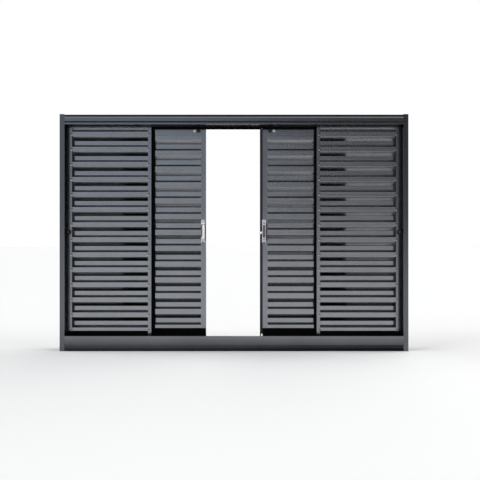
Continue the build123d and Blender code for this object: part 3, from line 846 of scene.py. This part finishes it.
@dataclass
class MeetingStile:
    """What each sliding leaf carries on its meeting stile: the latch's casting and the guide's top."""

    side: Side
    side_shade_near_mm: float = 0.5     # from the edges of the case and of the stile
    side_shade_far_mm: float = 0.6
    side_shade_foot_mm: float = 12.0    # from the case's ends
    side_shade_top_mm: float = 16.0
    side_shade_proud_mm: float = 0.5
    side_shade_hold_mm: float = 0.2
    side_shade_bevel_mm: float = 0.2
    notch_radius_mm: float = 5.5    # the three-cornered patch of painted shade at the notch in the case's foot
    notch_level_mm: float = 2.4     # above that foot
    notch_depth_mm: float = 0.6
    cap_start_mm: float = 2.0       # the guide's cap, from the stile's edge
    cap_end_mm: float = 15.0
    cap_foot_mm: float = 952.0
    cap_top_mm: float = 977.0
    cap_proud_mm: float = 0.8
    cap_hold_mm: float = 1.0
    cap_bevel_mm: float = 0.6
    screw_inset_mm: float = 28.5    # from the stile's edge
    screw_level_mm: float = 959.5
    screw_tilt: float = 0.6

    def build(self) -> None:
        """Dress the case and add the small pieces."""
        dress(self.node("latch_case"), LATCH)
        self.case_side_shade()
        self.notch()
        self.guide_cap()
        self.guide_screw()

    def node(self, part: str) -> str:
        """The name of one of the leaf's nodes or pieces."""
        return f"{self.side.name.lower()}_{Kind.SLIDING.value}_{part}"

    def stile_edge(self) -> float:
        """The stile's edge towards the blades, in metres."""
        low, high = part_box(self.node("inner_stile"))
        return low.x if self.side is Side.LEFT else high.x

    def case_side_shade(self) -> None:
        """Add a dark strip under the case, showing beside it as far as the stile's edge: painted shade of the
        case.
        """
        low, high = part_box(self.node("latch_case"))
        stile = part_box(self.node("inner_stile"))
        bm = bmesh.new()
        bar(bm, (max(low.x, stile[0].x) + self.side_shade_near_mm * MM, stile[1].x - self.side_shade_far_mm * MM),
            (high.y - self.side_shade_proud_mm * MM, high.y + self.side_shade_hold_mm * MM),
            (low.z + self.side_shade_foot_mm * MM, high.z - self.side_shade_top_mm * MM), self.side_shade_bevel_mm)
        place_piece(bm, self.node("latch_side_shade"), (SHADE_BROWN,))

    def notch(self) -> None:
        """Add a dark three-cornered patch on the foot of the case: painted shade at its notch."""
        low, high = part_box(self.node("latch_case"))
        radius = self.notch_radius_mm * MM
        seat = seat_on_front((low.x + high.x) / 2, low.y, low.z + self.notch_level_mm * MM)
        bm = bmesh.new()
        bmesh.ops.create_cone(bm, cap_ends=True, segments=3, radius1=radius, radius2=radius,
                              depth=self.notch_depth_mm * MM, matrix=seat)
        place_piece(bm, self.node("latch_notch_shade"), (SHADE_BROWN,))

    def guide_cap(self) -> None:
        """Add the black cap of the guide, which is clipped over the slot in the top rail."""
        front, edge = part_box(self.node("inner_stile"))[0].y, self.stile_edge()
        near, far = sorted(edge + self.side * size * MM for size in (self.cap_start_mm, self.cap_end_mm))
        bm = bmesh.new()
        bar(bm, (near, far), (front - self.cap_proud_mm * MM, front + self.cap_hold_mm * MM),
            (self.cap_foot_mm * MM, self.cap_top_mm * MM), self.cap_bevel_mm)
        place_piece(bm, self.node("guide_cap"), (NYLON,))

    def guide_screw(self) -> None:
        """Add the bright screw in the top rail that holds the guide."""
        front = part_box(self.node("inner_stile"))[0].y
        x = self.stile_edge() + self.side * self.screw_inset_mm * MM
        bm = bmesh.new()
        GUIDE_SCREW.add(bm, seat_on_front(x, front, self.screw_level_mm * MM, self.side * self.screw_tilt))
        place_piece(bm, self.node("guide_screw"), (SCREW, BORE_SHADE))


@dataclass
class PullStile(MeetingStile):
    """The left sliding leaf's meeting stile, whose latch is drawn by a pull bar in a pocket."""

    side: Side = Side.LEFT
    pocket_width_mm: float = 9.6    # the pocket, with a little play
    pocket_height_mm: float = 56.6
    pocket_shift_mm: float = -3.0   # its middle, from the case's middle
    pocket_floor_mm: float = 4.6    # from the case's face
    pocket_around: int = 24
    liner_mm: float = 0.5           # thickness
    ledge_near_mm: float = 1.6      # the ledge, from the case's edges
    ledge_far_mm: float = 1.2
    ledge_proud_mm: float = 1.4
    ledge_hold_mm: float = 0.5
    ledge_below_mm: float = 2.0     # and from the pull bar's top
    ledge_above_mm: float = 4.0
    ledge_bevel_mm: float = 0.8
    line_near_mm: float = 1.5       # the line, from the pull bar's edges
    line_far_mm: float = 0.2
    line_proud_mm: float = 0.2
    line_foot_mm: float = 4.2       # and from its top
    line_top_mm: float = 2.2
    line_bevel_mm: float = 0.2

    def build(self) -> None:
        """Dress the pull bar, and add the pocket's liner and the ledge."""
        super().build()
        dress(self.node("latch_thumb"), PULL)
        self.pocket_liner()
        self.pull_ledge()
        self.pull_gap_shade()

    def pocket_liner(self) -> None:
        """Add the grey sheet that lines the pocket beside the pull bar, darker than the casting."""
        low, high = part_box(self.node("latch_case"))
        middle = (low + high) / 2
        radius = self.pocket_width_mm / 2 * MM
        reach = self.pocket_height_mm / 2 * MM - radius
        turn = Matrix.Rotation(math.pi / self.pocket_around, 4, "Z")    # no corner falls on the middle line
        bm = bmesh.new()
        outline = bmesh.ops.create_circle(bm, cap_ends=True, segments=self.pocket_around, radius=radius,
                                          matrix=turn)
        for vert in outline["verts"]:
            vert.co.y += reach if vert.co.y > 0 else -reach
        grown = bmesh.ops.extrude_face_region(bm, geom=list(bm.faces))["geom"]
        top = [g for g in grown if isinstance(g, bmesh.types.BMVert)]
        bmesh.ops.translate(bm, verts=top, vec=(0, 0, self.liner_mm * MM))
        floor = low.y + self.pocket_floor_mm * MM
        seat = seat_on_front(middle.x + self.pocket_shift_mm * MM, floor, middle.z)
        bmesh.ops.transform(bm, matrix=seat, verts=bm.verts)
        place_piece(bm, self.node("pocket_liner"), (INSERT,))

    def pull_ledge(self) -> None:
        """Add the bright ledge over the pull bar."""
        low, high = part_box(self.node("latch_case"))
        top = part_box(self.node("latch_thumb"))[1].z
        bm = bmesh.new()
        bar(bm, (low.x + self.ledge_near_mm * MM, high.x - self.ledge_far_mm * MM),
            (low.y - self.ledge_proud_mm * MM, low.y + self.ledge_hold_mm * MM),
            (top - self.ledge_below_mm * MM, top + self.ledge_above_mm * MM), self.ledge_bevel_mm)
        place_piece(bm, self.node("latch_ledge"), (PULL,))

    def pull_gap_shade(self) -> None:
        """Add the dark line between the ledge and the pull bar: painted shade in the gap between them."""
        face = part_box(self.node("latch_case"))[0].y
        low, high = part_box(self.node("latch_thumb"))
        bm = bmesh.new()
        bar(bm, (low.x + self.line_near_mm * MM, high.x + self.line_far_mm * MM),
            (low.y - self.line_proud_mm * MM, face),
            (high.z - self.line_foot_mm * MM, high.z - self.line_top_mm * MM), self.line_bevel_mm)
        place_piece(bm, self.node("latch_gap_shade"), (SHADE_BROWN,))


@dataclass
class LeverStile(MeetingStile):
    """The right sliding leaf's meeting stile, with the latch's lever and tongue and the edge strip."""

    side: Side = Side.RIGHT
    case_screw_mm: float = 36.0     # from the latch's middle
    case_screw_turn: float = 0.4    # radians
    lip_reach_mm: float = 4.6       # of the soft lip past the edge strip
    lip_drop_mm: float = 11.0       # of its foot below the strip's
    lip_inset_mm: float = 2.5       # from the strip's faces
    lip_hold_mm: float = 0.5
    lip_bevel_mm: float = 0.8

    def build(self) -> None:
        """Dress the lever, the tongue and the edge strip, and add the lip and the screws."""
        super().build()
        dress(self.node("latch_thumb"), LEVER)
        dress(self.node("latch_tongue"), PULL)
        dress(self.node("edge_strip"), NYLON)
        self.edge_lip()
        self.case_screws()

    def edge_lip(self) -> None:
        """Add the soft lip along the edge strip, which meets the other leaf when the window is shut."""
        low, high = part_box(self.node("edge_strip"))
        inset = self.lip_inset_mm * MM
        bm = bmesh.new()
        bar(bm, (low.x - self.lip_reach_mm * MM, low.x + self.lip_hold_mm * MM),
            (low.y + inset, high.y - inset), (low.z - self.lip_drop_mm * MM, high.z), self.lip_bevel_mm)
        place_piece(bm, self.node("edge_lip"), (NYLON,))

    def case_screws(self) -> None:
        """Add the two screws that hold the latch case to the stile."""
        low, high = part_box(self.node("latch_case"))
        middle = (low + high) / 2
        bm = bmesh.new()
        for way in (-1, 1):
            level = middle.z + way * self.case_screw_mm * MM
            CASE_SCREW.add(bm, seat_on_front(middle.x, low.y, level, way * self.case_screw_turn))
        place_piece(bm, self.node("latch_screws"), (INSERT, BORE_SHADE))


@dataclass(frozen=True)
class Glow:
    """A light that one part of the surroundings sends out."""

    colour: str
    strength: float = 1.0       # over 1 it is brighter than white

    def light(self) -> tuple[float, float, float, float]:
        """The light's red, green and blue, and an alpha of 1."""
        return (*(c * self.strength for c in linear(self.colour)[:3]), 1.0)


@dataclass(frozen=True)
class Surroundings:
    """What the window mirrors: the room on the camera's side, and a backdrop beyond it.

    Both are told apart by the direction that a ray leaves in, whose parts run from -1 to 1 on each axis.
    """

    pale_room: Glow = Glow("#c8d0da")       # on the left
    dim_room: Glow = Glow("#737171")        # on the right
    ceiling: Glow = Glow("#3f4248")
    dark_beyond: Glow = Glow("#505055")     # on the left
    bright_beyond: Glow = Glow("#fffffa", 2.2)      # on the right
    above_beyond: Glow = Glow("#959595")
    seen: Glow = Glow(WHITE)                # what the camera sees behind the window
    left_to_right: Span = (-0.1, 0.14)      # on X
    room_to_ceiling: Span = (0.15, 0.8)     # on Z
    beyond_to_above: Span = (0.35, 0.95)    # on Z
    room_to_beyond: Span = (-0.25, 0.35)    # on Y

    def build(self) -> None:
        """Make the world."""
        world = bpy.data.worlds.new("studio")
        bpy.context.scene.world = world
        world.use_nodes = True
        tree = world.node_tree
        place = add_node(tree, "ShaderNodeTexCoord")
        way = add_node(tree, "ShaderNodeSeparateXYZ", {0: place.outputs["Generated"]}).outputs
        across = spread(tree, way["X"], self.left_to_right, ramp=Ramp.SMOOTH)
        overhead = spread(tree, way["Z"], self.room_to_ceiling, ramp=Ramp.SMOOTH)
        above = spread(tree, way["Z"], self.beyond_to_above, ramp=Ramp.SMOOTH)
        depth = spread(tree, way["Y"], self.room_to_beyond, ramp=Ramp.SMOOTH)
        room = blend(tree, across, self.pale_room.light(), self.dim_room.light())
        front = blend(tree, overhead, room, self.ceiling.light())
        beyond = blend(tree, across, self.dark_beyond.light(), self.bright_beyond.light())
        back = blend(tree, above, beyond, self.above_beyond.light())
        path = add_node(tree, "ShaderNodeLightPath")
        mirrored = blend(tree, depth, front, back)
        shown = blend(tree, path.outputs["Is Camera Ray"], mirrored, self.seen.light())
        tree.links.new(shown, tree.nodes["Background"].inputs["Color"])


@dataclass
class Studio:
    """The floor, the light and the camera."""

    camera_back: float = 3.56       # metres from the middle of the frame's depth
    camera_height: float = 0.487
    lens: float = 61.05
    principal_x: float = 234.0      # where the optical axis meets the picture, in pixels
    principal_y: float = 238.0
    clip_end: float = 200.0         # metres
    floor_side: float = 80.0        # metres
    floor_colour: str = "#f6f6f6"
    floor_roughness: float = 0.9
    floor_shine: float = 0.1
    lamp_powers: Span = (2.0, 1.5)  # left and right
    lamp_height: float = 38.0       # degrees above the horizon
    lamp_swing: float = 80.0        # degrees to each side of the front
    lamp_spread: float = 65.0       # degrees that each lamp takes up in the sky

    def build(self) -> None:
        """Set up the floor, the lamps, the surroundings and the camera."""
        self.floor()
        self.lamps()
        Surroundings().build()
        self.camera()
        bpy.context.scene.view_settings.view_transform = "Standard"

    def floor(self) -> None:
        """A plain pale floor that takes a soft shadow."""
        bm = bmesh.new()
        bmesh.ops.create_grid(bm, x_segments=1, y_segments=1, size=self.floor_side / 2)
        mesh = bpy.data.meshes.new("floor")
        bm.to_mesh(mesh)
        bm.free()
        made = bpy.data.materials.new("matt_white_floor")
        made.use_nodes = True
        shader = made.node_tree.nodes["Principled BSDF"]
        shader.inputs["Base Color"].default_value = linear(self.floor_colour)
        shader.inputs["Roughness"].default_value = self.floor_roughness
        shader.inputs["Specular IOR Level"].default_value = self.floor_shine
        mesh.materials.append(made)
        floor = bpy.data.objects.new("floor", mesh)
        bpy.context.scene.collection.objects.link(floor)

    def lamps(self) -> None:
        """Two large soft lamps, one to each side of the camera."""
        for name, way, power in zip(("left_lamp", "right_lamp"), (-1, 1), self.lamp_powers):
            lamp = bpy.data.lights.new(name, "SUN")
            lamp.energy = power
            lamp.angle = math.radians(self.lamp_spread)
            made = bpy.data.objects.new(name, lamp)
            swing, height = math.radians(way * self.lamp_swing), math.radians(self.lamp_height)
            source = Vector((math.sin(swing) * math.cos(height), -math.cos(swing) * math.cos(height),
                             math.sin(height)))
            made.rotation_mode = "QUATERNION"
            made.rotation_quaternion = source.to_track_quat("Z", "Y")
            bpy.context.scene.collection.objects.link(made)

    def camera(self) -> None:
        """The camera, level and square to the window, framed by a small shift."""
        data = bpy.data.cameras.new("camera")
        data.lens = self.lens
        data.shift_x = (IMAGE_SIDE / 2 - self.principal_x) / IMAGE_SIDE
        data.shift_y = -(IMAGE_SIDE / 2 - self.principal_y) / IMAGE_SIDE
        data.clip_end = self.clip_end
        made = bpy.data.objects.new("camera", data)
        made.location = (0.0, -self.camera_back, self.camera_height)
        made.rotation_euler = (math.pi / 2, 0.0, 0.0)
        bpy.context.scene.collection.objects.link(made)
        bpy.context.scene.camera = made


def main() -> None:
    """Build every sub-assembly in order."""
    logging.basicConfig(level=logging.INFO, format="%(name)s: %(message)s")
    Studio().build()
    OuterFrame().build()
    for leaf in (
        # The blades' painted shade reaches a different height on each leaf
        LouvredLeaf(Side.LEFT, Kind.FIXED, shade_below_mm=1000.0),
        LouvredLeaf(Side.LEFT, Kind.SLIDING, shade_below_mm=420.0),
        LouvredLeaf(Side.RIGHT, Kind.SLIDING, shade_below_mm=330.0),
        LouvredLeaf(Side.RIGHT, Kind.FIXED, shade_below_mm=330.0, seal_show_mm=10.0),
    ):
        leaf.build()
    PullStile().build()
    LeverStile().build()


if __name__ == "__main__":
    main()
